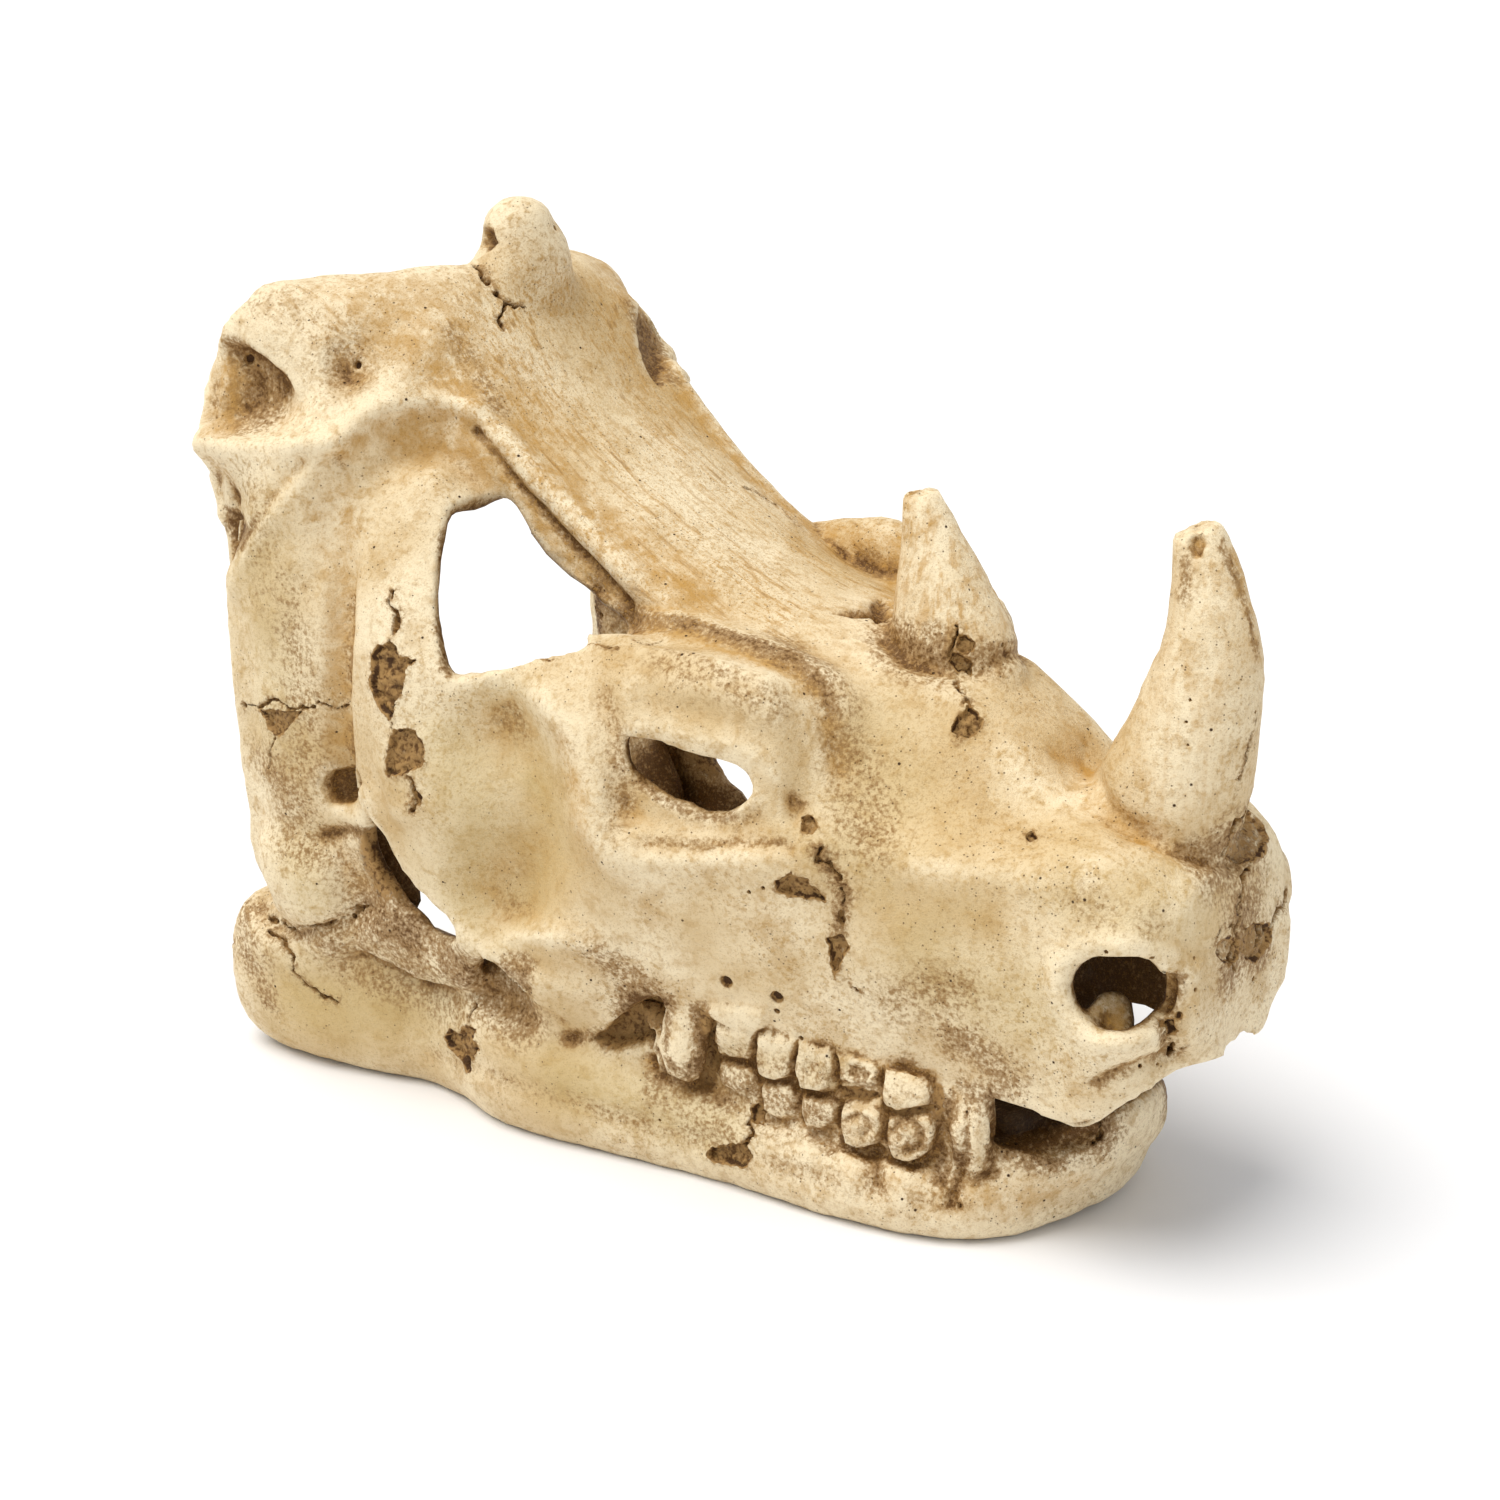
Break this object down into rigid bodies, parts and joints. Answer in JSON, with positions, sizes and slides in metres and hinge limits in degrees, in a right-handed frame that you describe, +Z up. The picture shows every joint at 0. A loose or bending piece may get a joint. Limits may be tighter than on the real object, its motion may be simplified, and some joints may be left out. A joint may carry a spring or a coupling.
{
  "type": "rhinoceros skull",
  "caption": "Cast replica of a rhinoceros skull: two horns, a knob on the crest, jaws moulded together, hollow and open behind and below.",
  "frame": {"origin": "middle of the underside of the bounding box, on the plane that the lower jaw rests on", "axes": "+X towards the snout, +Y towards the skull's left side, +Z up from the lower jaw to the crest"},
  "size_m": [0.2356, 0.1304, 0.1942],
  "materials": {
    "bone_resin": "matte cream with a brown wash in the recesses"
  },
  "bodies": {
    "root": {"skull": "bone_resin"}
  },
  "joints": []
}
